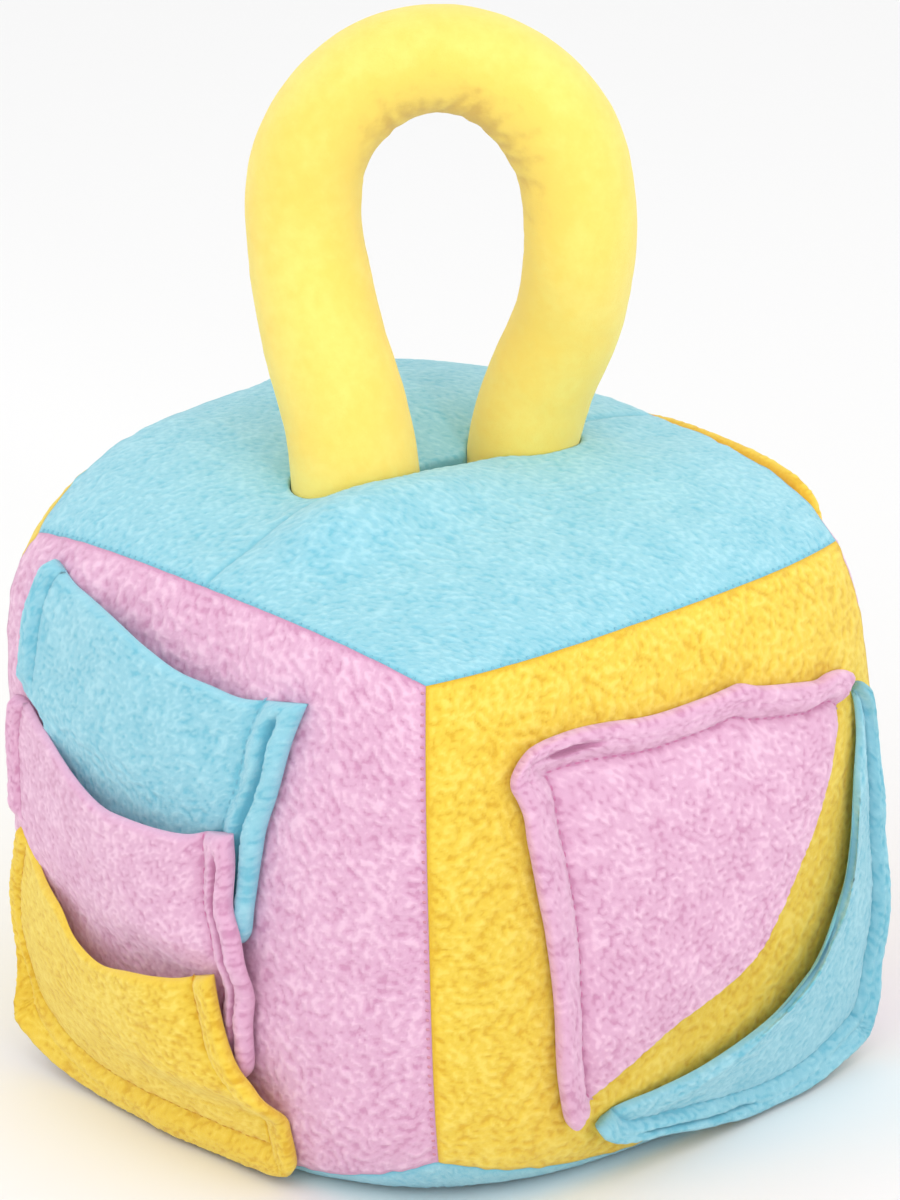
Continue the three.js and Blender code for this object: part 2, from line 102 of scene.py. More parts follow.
# The loop handle: for each height, how far out the middle lines of the left and the right leg are, and half
# thickness from the left foot over the top to the right foot
HANDLE_FOOT = np.array([-4, 6, 151])
HANDLE_LEAN = {"x": 1.5, "y": 1.6, "from": 172, "to": 215}
HANDLE_TWIST = {"low": 6, "high": 44, "from": 165, "to": 245}
LEGS = [
    (151, 30, 29), (172, 28.5, 28.3), (192, 29.4, 30.2), (213, 33.8, 34.6), (233, 36.8, 37.2),
    (250, 37.7, 37.2), (264, 35.2, 34.2), (277, 27, 25.8), (286.3, 14.4, 13.4),
]
LOOP_TOP = 289.2
HALF_ALONG = [20, 17.6, 16.3, 15.3, 14.6, 15.8, 15, 14.9, 16.5]
HALF_THROUGH = [15.4, 16, 16.4, 16.2, 15.4, 15.6, 15.4, 15.4, 15]
HANDLE_LENGTH = 335
HANDLE_STEPS = 300
HANDLE_SIDES = 96
BEND = {"at": 0.52, "run": 0.16}  # the loop's upper bend, in shares of the loop

# How the curls of the pile look: length, width and height of a curl in mm, their turn in degrees, and how
# much the colour changes from the painted shade deep in the pile to the painted light at its top
PANEL_CURLS = (2.8, 2.1, 0.5, -40, 0.95)
TOP_CURLS = (2, 1.7, 0.38, 25, 0.9)
POCKET_CURLS = (2.1, 1.7, 0.48, -30, 1.1)
TOP_SEED = 21
BASE_SEED = 31
PUCKER_SEED = 9


def lerp(a, b, share):
    return a + (b - a) * share


def profile(s):
    return 1 - np.abs(s) ** SQUARENESS


def bell(distance, reach):
    return np.exp(-((distance / reach) ** 2))


def plateau(distance, run):
    return 1 / (1 + (distance / run) ** 8)


def smoothstep(value, low, high):
    share = np.clip((value - low) / (high - low), 0, 1)
    return share * share * (3 - 2 * share)


def unit(vectors):
    return vectors / np.maximum(np.linalg.norm(vectors, axis=-1, keepdims=True), 1e-9)


def bow(name, s, t):
    crown, low_s, high_s, low_t, high_t, lean = FACES[name]
    side_bow = lerp(low_s, high_s, (s + 1) / 2)
    end_bow = lerp(low_t, high_t, (t + 1) / 2)
    middle = (crown - (low_s + high_s) / 2 - (low_t + high_t) / 2) * (1 - lean * s)
    return side_bow * profile(t) + end_bow * profile(s) + middle * profile(s) * profile(t)


def top_relief(cx, cy):
    """The rolled front lip, the back half falling into the slit, and the seam beyond the slit."""
    along_slit = cy - SLIT["y"] / HALF_DEPTH
    rise = FRONT_LIP["rise"] - FRONT_LIP["towards_front"] * along_slit
    rise = rise + FRONT_LIP["far"] * smoothstep(along_slit, 0.06, 0.36)
    lip = rise * bell(cx - FRONT_LIP["s"], FRONT_LIP["reach"]) * plateau(along_slit, FRONT_LIP["run"])
    dip_reach = np.where(cx < BACK_DIP["s"], BACK_DIP["reach"], BACK_DIP["reach"] / 2)
    dip = BACK_DIP["depth"] * bell(cx - BACK_DIP["s"], dip_reach) * plateau(along_slit, BACK_DIP["run"])
    crease = SEAM_CREASE["depth"] * bell(cx, SEAM_CREASE["reach"])
    crease = crease * (1 - plateau(along_slit, FRONT_LIP["run"]))
    return (lip - dip - crease) * profile(cy) * profile(cx)


def cube_point(cx, cy, cz):
    """A point of the cube's cloth surface, from a point of the cube -1 to 1."""
    cx, cy, cz = np.broadcast_arrays(*(np.asarray(value, float) for value in (cx, cy, cz)))
    wide = cz + SETTLE * (1 - cz * cz)
    tx = (cx + 1) / 2
    ty = (cy + 1) / 2
    tz = (cz + 1) / 2

    def between(corner):
        return lerp(lerp(corner["left"], corner["near"], tx), lerp(corner["far"], corner["right"], tx), ty)

    raised = np.clip(wide, 0, 1)
    shoulder = (raised ** SQUARENESS - raised ** SHOULDER["power"]) * ((1 - tx) * (1 - ty)) ** 2
    x = lerp(-HALF_WIDTH - bow("left", cy, wide), HALF_WIDTH + bow("right", cy, wide), tx)
    y = lerp(-HALF_DEPTH - bow("front", cx, wide), HALF_DEPTH + bow("back", cx, wide), ty)
    x = x - SHOULDER["left"] * shoulder
    y = y - SHOULDER["front"] * shoulder
    low = between(BOTTOM_CORNER) - bow("bottom", cx, cy)
    high = between(TOP_CORNER) + bow("top", cx, cy) + top_relief(cx, cy)
    return np.stack([x, y, np.maximum(lerp(low, high, tz), 0)], axis=-1)


def on_face(name, s, t):
    """A point of a face, from its s and t, which stand for the two ways that the face doesn't look."""
    places = iter((s, t))
    return cube_point(*(way or next(places) for way in OUTWARD[name]))


def face_normal(name, s, t):
    step = 0.006
    along_s = on_face(name, s + step, t) - on_face(name, s - step, t)
    along_t = on_face(name, s, t + step) - on_face(name, s, t - step)
    normal = unit(np.cross(along_s, along_t))
    return normal * np.sign(np.sum(normal * OUTWARD[name], axis=-1, keepdims=True))


def drawn_in(points, depth):
    """The same points, nearer the middle of the cube."""
    return points + unit(MIDDLE - points) * depth


def noise_cell(u, v):
    """The cell of a noise that a place is in, and where it is in that cell."""
    iu = np.floor(u).astype(int)
    iv = np.floor(v).astype(int)
    return iu, iv, u - iu, v - iv


def soft_noise(u, v, seed):
    """Smooth noise from -1 to 1 that changes over about one unit of u and v."""
    table = np.random.default_rng(seed).uniform(-1, 1, (256, 256))
    iu, iv, fu, fv = noise_cell(u, v)
    fu = fu * fu * (3 - 2 * fu)
    fv = fv * fv * (3 - 2 * fv)
    low = lerp(table[iu % 256, iv % 256], table[(iu + 1) % 256, iv % 256], fu)
    high = lerp(table[iu % 256, (iv + 1) % 256], table[(iu + 1) % 256, (iv + 1) % 256], fu)
    return lerp(low, high, fv)


def gradient_noise(u, v, seed):
    """Smooth noise from about -1 to 1 whose bumps are about one unit of u and v wide."""
    turned = np.random.default_rng(seed).uniform(0, 2 * math.pi, (256, 256))
    iu, iv, fu, fv = noise_cell(u, v)

    def corner(du, dv):
        angle = turned[(iu + du) % 256, (iv + dv) % 256]
        return (fu - du) * np.cos(angle) + (fv - dv) * np.sin(angle)

    wide = fu ** 3 * (fu * (fu * 6 - 15) + 10)
    high = fv ** 3 * (fv * (fv * 6 - 15) + 10)
    return 1.5 * lerp(lerp(corner(0, 0), corner(1, 0), wide), lerp(corner(0, 1), corner(1, 1), wide), high)


def curls(u, v, look, seed):
    """Height in mm of the pile at u, v in mm, and from 0 to 1 how far up its curl a point is."""
    length, width, tall, degrees, shade_contrast = look
    turn = math.radians(degrees)
    wander_u = u + 0.8 * soft_noise(u / 5, v / 5, seed + 1)
    wander_v = v + 0.8 * soft_noise(u / 5, v / 5, seed + 2)
    along = (wander_u * math.cos(turn) + wander_v * math.sin(turn)) / length
    across = (wander_v * math.cos(turn) - wander_u * math.sin(turn)) / width
    large = gradient_noise(along, across, seed)
    small = gradient_noise(along * 1.9 + 31, across * 1.9 + 57, seed + 5)
    patches = soft_noise(u / 6, v / 6, seed + 7)
    up = smoothstep(0.85 * large + 0.5 * small + 0.3 * patches, -1, 0.9)
    lumps = 0.35 * soft_noise(u / 17, v / 17, seed + 6)
    # The second value, how far up its curl a point is, sets the painted shade and painted light of the pile
    return tall * (up - 0.6) + lumps, 0.5 + shade_contrast * (up - 0.5)


def add_object(name, data):
    item = bpy.data.objects.new(name, data)
    bpy.context.scene.collection.objects.link(item)
    return item


class Shell:
    """Gathers points in mm, their pile value with painted shade and light, and their faces, and makes one
    closed mesh.
    """

    def __init__(self):
        self.points = []
        self.pile_and_shade = []
        self.faces = []
        self.count = 0

    def add(self, points, pile_and_shade=0.5):
        shape = points.shape[:-1]
        self.points.append(points.reshape(-1, 3))
        self.pile_and_shade.append(np.broadcast_to(pile_and_shade, shape).ravel())
        index = np.arange(self.count, self.count + int(np.prod(shape))).reshape(shape)
        self.count += index.size
        return index

    def grid(self, index):
        corners = (index[:-1, :-1], index[1:, :-1], index[1:, 1:], index[:-1, 1:])
        self.faces.extend(np.stack([corner.ravel() for corner in corners], axis=1).tolist())

    def band(self, loop, inner):
        following = np.roll(loop, -1)
        inner_following = np.roll(inner, -1)
        self.faces.extend(np.stack([loop, following, inner_following, inner], axis=1).tolist())

    def ring(self, loop, points, pile_and_shade=0.5):
        """A loop of new points, joined to the loop before it."""
        inner = self.add(points, pile_and_shade)
        self.band(loop, inner)
        return inner

    def close(self, loop, point, pile_and_shade=0.5):
        """Triangles from a loop to one new point."""
        centre = self.add(point[None, :], pile_and_shade)[0]
        self.faces.extend([[int(a), int(b), int(centre)] for a, b in zip(loop, np.roll(loop, -1))])

    def make(self, name, material):
        mesh = bpy.data.meshes.new(name)
        points = np.concatenate(self.points) * MM
        mesh.from_pydata(points.tolist(), [], self.faces)
        # The pile value is a point's place on the pile plus painted shade and light, and it sets the colour
        attribute = mesh.attributes.new("pile_and_shade", "FLOAT", "POINT")
        attribute.data.foreach_set("value", np.concatenate(self.pile_and_shade).astype(np.float32))
        sorted_mesh = bmesh.new()
        sorted_mesh.from_mesh(mesh)
        bmesh.ops.recalc_face_normals(sorted_mesh, faces=sorted_mesh.faces)
        sorted_mesh.to_mesh(mesh)
        sorted_mesh.free()
        mesh.polygons.foreach_set("use_smooth", [True] * len(mesh.polygons))
        mesh.materials.append(material)
        piece = add_object(name, mesh)
        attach(piece, BODY)
        return piece


def rim(grid):
    """The rim of a grid as one loop, whatever the grid holds."""
    return np.concatenate([grid[:-1, 0], grid[-1, :-1], grid[:0:-1, -1], grid[0, :0:-1]])


def face_lines(half_size, step):
    """Lines of a face's grid from -1 to 1, closer together beside its seams."""
    near_seam = np.array([0, 0.4, 0.8, 1.25, 1.7, 2.2])
    inner = half_size - 2.8
    middle = np.linspace(-inner, inner, int(2 * inner / step) + 1)
    return np.concatenate([near_seam - half_size, middle, half_size - near_seam[::-1]]) / half_size


def half_sizes(name):
    half_s = HALF_DEPTH if name in ("left", "right") else HALF_WIDTH
    half_t = HALF_DEPTH if name in ("top", "bottom") else HALF_HEIGHT
    return half_s, half_t


def dressed_face(name, s, t, look, seed):
    """A face's cloth with its curls and drawn-in seams, and where its points are on the pile, with painted
    shade along the seams.
    """
    half_s, half_t = half_sizes(name)
    edge = np.minimum((1 - np.abs(s)) * half_s, (1 - np.abs(t)) * half_t)
    bowed = 8
    height, up = curls(s * (half_s + bowed), t * (half_t + bowed), look, seed)
    calm = smoothstep(edge, 0.1, 2.2)
    place = on_face(name, s, t)
    pucker = 1 + 0.35 * soft_noise((place[..., 0] + place[..., 1]) / 4, place[..., 2] / 4, PUCKER_SEED)
    dip = (SEAM_DIP["narrow"] * bell(edge, 1.3) + SEAM_DIP["wide"] * bell(edge, 4.5)) * pucker
    points = drawn_in(place, dip[..., None]) + face_normal(name, s, t) * (height * calm)[..., None]
    points[..., 2] = np.maximum(points[..., 2], 0)
    # Beside the seams the pile value falls to 0.1: painted shade in the seam valleys
    return points, lerp(0.1, up, calm)


def make_panel(name, step, material, seed):
    """A side panel: curly cloth outside, closed behind by a few plain rings."""
    half_s, half_t = half_sizes(name)
    s, t = np.meshgrid(face_lines(half_s, step), face_lines(half_t, step), indexing="ij")
    shell = Shell()
    points, up = dressed_face(name, s, t, PANEL_CURLS, seed)
    outer = shell.add(points, up)
    shell.grid(outer)
    loop = rim(outer)
    for share in (1, 0.85, 0.55, 0.2):
        behind = drawn_in(on_face(name, rim(s) * share, rim(t) * share), PANEL_THICKNESS)
        loop = shell.ring(loop, behind, 0)
    shell.close(loop, drawn_in(on_face(name, 0, 0), PANEL_THICKNESS), 0)
    return shell.make("fleece_panel_" + name, material)


def loop_frame(z):
    """Directions across the loop, in its plane, and through it at a height."""
    turned = np.radians(lerp(HANDLE_TWIST["low"], HANDLE_TWIST["high"],
                             smoothstep(z, HANDLE_TWIST["from"], HANDLE_TWIST["to"])))
    level = np.zeros_like(turned)
    across = np.stack([np.sin(turned), np.cos(turned), level], axis=-1)
    through = np.stack([np.cos(turned), -np.sin(turned), level], axis=-1)
    return across, through


def loop_point(z, out):
    lean = smoothstep(z, HANDLE_LEAN["from"], HANDLE_LEAN["to"])
    foot = HANDLE_FOOT + np.array([HANDLE_LEAN["x"], HANDLE_LEAN["y"], 0]) * lean
    across, _ = loop_frame(np.asarray(float(z)))
    return np.array([foot[0], foot[1], z]) + across * out


def spline(points):
    """A function from a share of the length to a point of the smooth curve through the points."""
    points = np.asarray(points, float)
    padded = np.concatenate([points[:1], points, points[-1:]])
    share = np.linspace(0, 1, 60, endpoint=False)[:, None]
    parts = []
    for before, start, end, after in zip(padded, padded[1:], padded[2:], padded[3:]):
        pull_start = (end - before) / 2
        pull_end = (after - start) / 2
        cubic = 2 * start - 2 * end + pull_start + pull_end
        square = -3 * start + 3 * end - 2 * pull_start - pull_end
        parts.append(cubic * share ** 3 + square * share ** 2 + pull_start * share + start)
    line = np.concatenate(parts + [points[-1:]])
    length = np.concatenate([[0], np.cumsum(np.linalg.norm(np.diff(line, axis=0), axis=1))])
    length /= length[-1]

    def at(value):
        return np.stack([np.interp(value, length, line[:, k]) for k in range(line.shape[1])], axis=-1)

    return at


def opening_distance(x, y):
    """Distance outside the opening round the slit and the two feet of the handle, below 0 inside."""
    along = (y - SLIT["y"]) / (SLIT["length"] / 2)
    half = SLIT["width"] / 2 * np.clip(1 - along ** 2, 0, None)
    beyond = np.clip(np.abs(y - SLIT["y"]) - SLIT["length"] / 2, 0, None)
    nearest = np.hypot(np.clip(np.abs(x - SLIT["x"]) - half, 0, None), beyond)
    nearest = np.where(nearest > 0, nearest, np.abs(x - SLIT["x"]) - half)
    across, through = loop_frame(np.asarray(float(RIM_HEIGHT)))
    for side, half_across, half_through in FOOT_HOLES:
        centre = loop_point(RIM_HEIGHT, side * FOOT_OUT)
        dx = x - centre[0]
        dy = y - centre[1]
        p = (dx * across[0] + dy * across[1]) / half_across
        q = (dx * through[0] + dy * through[1]) / half_through
        ratio = np.hypot(p, q)
        slope = np.maximum(np.hypot(p / half_across, q / half_through), 1e-6)
        foot = ratio * (ratio - 1) / slope
        shared = np.clip(1 - np.abs(nearest - foot) / CORNER_ROUND, 0, 1)
        nearest = np.minimum(nearest, foot) - CORNER_ROUND / 4 * shared ** 2
    return nearest


def open_slit(s, t, points):
    """The top's points with the slit and the sockets of the handle sunk in, and which of them are inside."""
    x = points[..., 0]
    y = points[..., 1]
    distance = opening_distance(x, y)
    reach = 0.3
    slope_x = (opening_distance(x + reach, y) - opening_distance(x - reach, y)) / (2 * reach)
    slope_y = (opening_distance(x, y + reach) - opening_distance(x, y - reach)) / (2 * reach)
    front_roll = lerp(ROLL["front"], ROLL["far_end"], smoothstep(y, ROLL["from"], ROLL["to"]))
    roll = lerp(ROLL["elsewhere"], front_roll, smoothstep(x, SLIT["x"], SLIT["x"] + ROLL["front_run"]))
    towards = np.clip(1 - distance / roll, 0, 1)
    calm = smoothstep(distance, -0.5, 2.5)[..., None]
    points = lerp(on_face("top", s, t), points, calm)
    points[..., 2] -= roll * (1 - np.sqrt(1 - towards ** 2))
    wall = np.clip(-distance / ROLL["wall"], 0, 1)
    points[..., 2] = lerp(points[..., 2], SLIT["floor"], wall ** 2)
    inside = distance < 0
    on_rim = inside & (wall < 1)
    points[..., 0] -= np.where(on_rim, distance * slope_x, 0)
    points[..., 1] -= np.where(on_rim, distance * slope_y, 0)
    return points, inside


def make_body(material):
    """The blue top with its slit, the base, and the plain sides behind the panels, as one closed mesh."""
    s, t = np.meshgrid(face_lines(HALF_WIDTH, FINE), face_lines(HALF_DEPTH, FINE), indexing="ij")
    points, up = dressed_face("top", s, t, TOP_CURLS, TOP_SEED)
    beyond_slit = 1 - plateau(points[..., 1] - SLIT["y"], SLIT["length"] / 2 + TOP_SEAM["from_slit"])
    seam = bell(points[..., 0], TOP_SEAM["half_width"]) * beyond_slit
    points[..., 2] -= TOP_SEAM["depth"] * seam
    points, inside = open_slit(s, t, points)
    shell = Shell()
    # Painted shade: the pile value is 0.25 inside the slit and falls to 0.1 along the seam beyond it
    top = shell.add(points, np.where(inside, 0.25, lerp(up, 0.1, seam)))
    shell.grid(top)
    loop = rim(top)
    rim_s = rim(s)
    rim_t = rim(t)
    for height in (1, 0.5, 0, -0.5, -1):
        side = drawn_in(cube_point(rim_s, rim_t, height), PANEL_THICKNESS + SEAT)
        loop = shell.ring(loop, side, 0)
    for share in np.concatenate([np.linspace(1, 0.85, 13), np.linspace(0.8, 0.1, 10)]):
        below, below_up = dressed_face("bottom", rim_s * share, rim_t * share, TOP_CURLS, BASE_SEED)
        loop = shell.ring(loop, below, below_up)
    shell.close(loop, on_face("bottom", 0, 0))
    return shell.make("fleece_body", material)


# Creases on the inner side of the handle's bend: share of the loop, angle round the tube and its reach in
# degrees, depth in mm and slant. Angle 0 is the inner side, and 90 faces the front.
CREASES = [
    (0.430, 5, 60, 1.3, 0.02),
    (0.462, 35, 34, 0.5, -0.03),
    (0.482, 30, 30, 0.6, 0),
    (0.497, 40, 30, 0.7, 0.03),
    (0.514, 42, 36, 1.1, 0.06),
    (0.534, 22, 40, 0.8, 0.03),
    (0.551, 35, 36, 0.8, -0.03),
    (0.566, 30, 40, 0.9, 0.02),
    (0.582, 40, 36, 0.9, 0.05),
    (0.597, 30, 40, 0.8, 0.01),
    (0.616, 30, 40, 0.6, 0.02),
    (0.645, 25, 40, 0.5, 0.03),
    (0.690, 25, 36, 0.4, 0.02),
]


def crease_depths(share, degrees):
    """Depth in mm of the creases, at shares of the loop and angles round its tube."""
    total = 0 * share * degrees
    for place, side, reach, depth, slant in CREASES:
        away = (share - place - slant * (degrees - side) / 100) * HANDLE_LENGTH
        total = total + depth * bell(degrees - side, reach) * (bell(away, 2.4) - 0.3 * bell(away, 5))
    return total


def handle_relief(share, angle):
    """Unevenness of the handle's plush in mm and its tone from 0 to 1 with painted shade, at shares of the
    loop and angles.
    """
    u = share * HANDLE_LENGTH
    around = np.cos(angle)
    sideways = np.sin(angle)
    lift = 0.2 * soft_noise(u / 20, around * 1.2 + 5, 51) + 0.15 * soft_noise(u / 12, sideways * 2 + 9, 52)
    lift = lift + 0.06 * soft_noise(u / 3, around * 6 + 20, 53)
    lift = lift + 0.06 * soft_noise(u / 3, sideways * 6 + 30, 54)
    creases = crease_depths(share, np.degrees((angle + math.pi) % (2 * math.pi) - math.pi))
    bend = bell(share - BEND["at"], BEND["run"])
    inner = (1 + around) / 2
    patches = soft_noise(u / 5, around * 5 + 60, 56) + 0.6 * soft_noise(u / 2, around * 12 + 80, 57)
    # The tone is random in part. Painted shade darkens it a little on the inner side, much in the upper bend
    # and in the creases, and the patches there are stronger as part of that painted shade
    tone_and_shade = 0.74 - 0.08 * inner - 0.6 * inner ** 2 * bend - 0.35 * np.clip(creases, 0, 1)
    tone_and_shade = tone_and_shade + 0.1 * soft_noise(u / 14, around * 2 + 40, 55) + (0.05 + 0.05 * inner * bend) * patches
    above_foot = smoothstep(np.minimum(share, 1 - share), 0.05, 0.13)
    return (lift - 0.35 * creases) * above_foot, tone_and_shade


def make_handle(material):
    """The stuffed plush loop, drawn into creases on the inner side of its bend."""
    rising = [loop_point(z, -left) for z, left, _ in LEGS]
    falling = [loop_point(z, right) for z, _, right in reversed(LEGS)]
    curve = spline(rising + [loop_point(LOOP_TOP, 0)] + falling)
    share = np.linspace(0, 1, HANDLE_STEPS + 1)
    middle = curve(share)
    step = 0.004
    tangent = unit(curve(np.minimum(share + step, 1)) - curve(np.maximum(share - step, 0)))
    _, through = loop_frame(middle[:, 2])
    along = unit(np.cross(tangent, through))
    square = unit(np.cross(along, tangent))
    rows = np.linspace(0, 1, len(HALF_ALONG))
    angle = np.arange(HANDLE_SIDES)[None, :] * 2 * math.pi / HANDLE_SIDES
    lift, tone_and_shade = handle_relief(share[:, None], angle)
    reach_along = (np.interp(share, rows, HALF_ALONG)[:, None] + lift) * np.cos(angle)
    reach_through = (np.interp(share, rows, HALF_THROUGH)[:, None] + lift) * np.sin(angle)
    points = middle[:, None, :] + along[:, None, :] * reach_along[..., None]
    points = points + square[:, None, :] * reach_through[..., None]
    shell = Shell()
    index = shell.add(points, tone_and_shade)
    for row in range(HANDLE_STEPS):
        shell.band(index[row], index[row + 1])
    for row in (0, HANDLE_STEPS):
        shell.close(index[row], middle[row])
    return shell.make("plush_handle", material)


# Pockets in the s and t of their face, with sizes in mm. left and right run from the bottom to the mouth,
# bottom and mouth from left to right without the ends that they share with those, and a bottom that isn't
# given is straight. A corner pocket has only fin_a along its top or bottom, fin_b up its side from the start
# of fin_a, and its mouth from the end of fin_a to the end of fin_b. gape is how far the mouth stands off,
# opens how late the cloth comes off the panel on its way to the mouth, and rises how slowly it does at the
# left. ride is the rise over the pocket above: from which t, to which t, and how high. fin_from is the t
# from which the left fin is raised. flare is how far the raw edge of a fin lifts, everywhere and at the
# corner of two fins. tuck is how much nearer to the panel the mouth comes than the cloth below it, puff how
# far the cloth swells beside its fins, both 0 if not given, and corner the radius of the fins' corner. A fin
# has its width and height as shares of the plain fin, and its waves, mm outward at even steps along it. A
# slot is the gap between the two cut edges of a fin: which fin, from where to where along it from 0 to 1,
# how deep and half how wide.
TIER_POCKETS = {
    "pocket_front_top": {
        "gape": 4.8, "opens": 1.4, "rises": 2.4, "fin_from": 0.44, "ride": (-1, 1, 0), "flare": (0.5, 0),
        "corner": 5,
        "left": [(-0.52, -0.03), (-0.56, 0.18), (-0.66, 0.36), (-0.77, 0.425), (-0.795, 0.48),
                 (-0.784, 0.558), (-0.774, 0.632), (-0.762, 0.76), (-0.742, 0.867), (-0.712, 0.922)],
        "right": [(0.33, -0.13), (0.365, -0.08), (0.385, 0.05), (0.424, 0.281), (0.483, 0.451), (0.526, 0.63),
                  (0.574, 0.775)],
        "mouth": [(-0.576, 0.866), (-0.472, 0.845), (-0.26, 0.807), (-0.102, 0.766), (0.045, 0.732),
                  (0.187, 0.724), (0.311, 0.716), (0.431, 0.74)],
        "fins": {"left": (0.7, 0.7, []), "right": (1.75, 1, [0, -0.3, 0.3, -0.3, 0.5])},
        "slots": [("right", 0.08, 0.97, 3.8, 0.6)],
    },
    "pocket_front_middle": {
        "gape": 7, "opens": 1.3, "rises": 1.5, "fin_from": -0.1, "ride": (-0.34, -0.16, 4.2), "flare": (1, 0),
        "corner": 5,
        "left": [(-0.58, -0.48), (-0.6, -0.34), (-0.68, -0.235), (-0.77, -0.165), (-0.85, -0.09), (-0.87, 0),
                 (-0.875, 0.15), (-0.869, 0.28), (-0.835, 0.395)],
        "right": [(0.3, -0.64), (0.35, -0.58), (0.362, -0.44), (0.382, -0.244), (0.37, -0.098),
                  (0.342, 0.012), (0.348, 0.155), (0.343, 0.275)],
        "mouth": [(-0.755, 0.37), (-0.67, 0.338), (-0.553, 0.308), (-0.395, 0.253), (-0.235, 0.206),
                  (-0.101, 0.204), (0.124, 0.215), (0.22, 0.244)],
        "fins": {"left": (0.5, 0.55, []), "right": (1.3, 0.9, [0, 0.2, -0.3, 0.3, -0.3, 0.2, 0])},
        "slots": [("right", -0.1, 0.95, 3, 0.45)],
    },
    "pocket_front_bottom": {
        "gape": 8, "opens": 0.9, "rises": 1.3, "fin_from": -2, "ride": (-0.78, -0.64, 6), "flare": (0.5, 9.5),
        "corner": 4,
        "left": [(-0.95, -0.89), (-0.935, -0.8), (-0.93, -0.7), (-0.935, -0.5), (-0.885, -0.28),
                 (-0.83, -0.11)],
        "right": [(0.46, -0.99), (0.475, -0.91), (0.474, -0.828), (0.462, -0.7), (0.41, -0.62), (0.35, -0.56),
                  (0.313, -0.481), (0.279, -0.351), (0.262, -0.245)],
        "bottom": [(-0.89, -0.935), (-0.78, -0.965), (-0.56, -0.985), (-0.28, -0.985), (0.1, -0.99)],
        "mouth": [(-0.76, -0.163), (-0.672, -0.212), (-0.503, -0.255), (-0.395, -0.318), (-0.24, -0.35),
                  (-0.082, -0.325), (0.034, -0.311), (0.132, -0.293)],
        "fins": {
            "left": (0.5, 0.5, []),
            "right": (0.95, 0.8, [0, 0.2, 0]),
            "bottom": (1.05, 1, [0, 0.4, -0.3, 0.3, 0]),
        },
        "slots": [],
    },
}
CORNER_POCKETS = {
    "pocket_right_upper": {
        "face": "right", "gape": 8, "flare": (1, 1), "tuck": 0.2, "puff": 1.6, "corner": 6,
        "fin_a": [(-0.72, 0.685), (-0.659, 0.716), (-0.585, 0.731), (-0.471, 0.735), (-0.34, 0.722),
                  (-0.233, 0.703), (-0.108, 0.691), (0.096, 0.689), (0.185, 0.692), (0.244, 0.692),
                  (0.328, 0.659), (0.507, 0.614), (0.603, 0.591), (0.675, 0.594), (0.746, 0.577),
                  (0.79, 0.535)],
        "fin_b": [(-0.742, 0.6), (-0.718, 0.534), (-0.699, 0.472), (-0.691, 0.388), (-0.673, 0.265),
                  (-0.655, 0.139), (-0.636, 0.012), (-0.613, -0.241), (-0.605, -0.496), (-0.591, -0.629),
                  (-0.567, -0.741), (-0.532, -0.79)],
        "mouth": [(0.745, 0.49), (0.67, 0.395), (0.54, 0.178), (0.295, -0.137), (0.124, -0.323),
                  (-0.196, -0.474), (-0.412, -0.626), (-0.48, -0.73)],
        "fins": {"left": (1.2, 1, []), "bottom": (1.15, 1.1, [])},
        "slots": [("bottom", 0.05, 0.24, 3.4, 0.5)],
    },
    "pocket_right_lower": {
        "face": "right", "gape": 9, "flare": (1.5, 5), "tuck": 0.45, "corner": 3,
        "fin_a": [(0.95, -0.97), (0.62, -0.985), (0.377, -0.985), (0.2, -0.965), (0.03, -0.939),
                  (-0.134, -0.912), (-0.289, -0.89), (-0.394, -0.858), (-0.44, -0.8)],
        "fin_b": [(0.95, -0.6), (0.937, -0.327), (0.918, -0.119), (0.87, 0.239), (0.85, 0.42), (0.83, 0.5)],
        "mouth": [(-0.38, -0.773), (-0.314, -0.74), (-0.181, -0.719), (0.009, -0.684), (0.216, -0.617),
                  (0.329, -0.569), (0.44, -0.495), (0.537, -0.423), (0.624, -0.29), (0.693, -0.176),
                  (0.735, -0.028), (0.765, 0.161), (0.807, 0.322)],
        "fins": {"left": (0.42, 1.05, []), "bottom": (0.9, 0.9, [])},
        "slots": [("bottom", 0.42, 0.88, 3, 0.45)],
    },
    "pocket_back": {
        "face": "back", "gape": 9, "flare": (1.5, 1), "tuck": 0.2, "puff": 0.8, "corner": 8,
        "fin_a": [(0.69, 0.94), (0.4, 0.955), (0, 0.945), (-0.4, 0.87), (-0.75, 0.76)],
        "fin_b": [(0.68, 0.4), (0.62, -0.1), (0.53, -0.6)],
        "mouth": [(-0.64, 0.6), (-0.47, 0.3), (-0.25, -0.02), (0, -0.25), (0.3, -0.42)],
        "fins": {"left": (1, 0.9, [0.3, -0.4, 0.2, 0]), "bottom": (1, 0.7, [0.3, -0.3, 0.5, -0.4, 0.3])},
        "slots": [("bottom", 0.1, 0.5, 2.4, 0.5)],
    },
}

# Height of a fin over its foot, from its raw outer edge to the pocket's cloth, with the groove of the
# stitches before the cloth
FIN_SECTION = np.array([
    (0, 2.6), (0.35, 3.8), (0.9, 4.6), (1.8, 5.1), (3.4, 5.3), (4.9, 5.1), (6, 4.5), (6.8, 3.6), (7.4, 2.7),
    (7.9, 2), (8.4, 1.7), (9.1, 2.3),
])
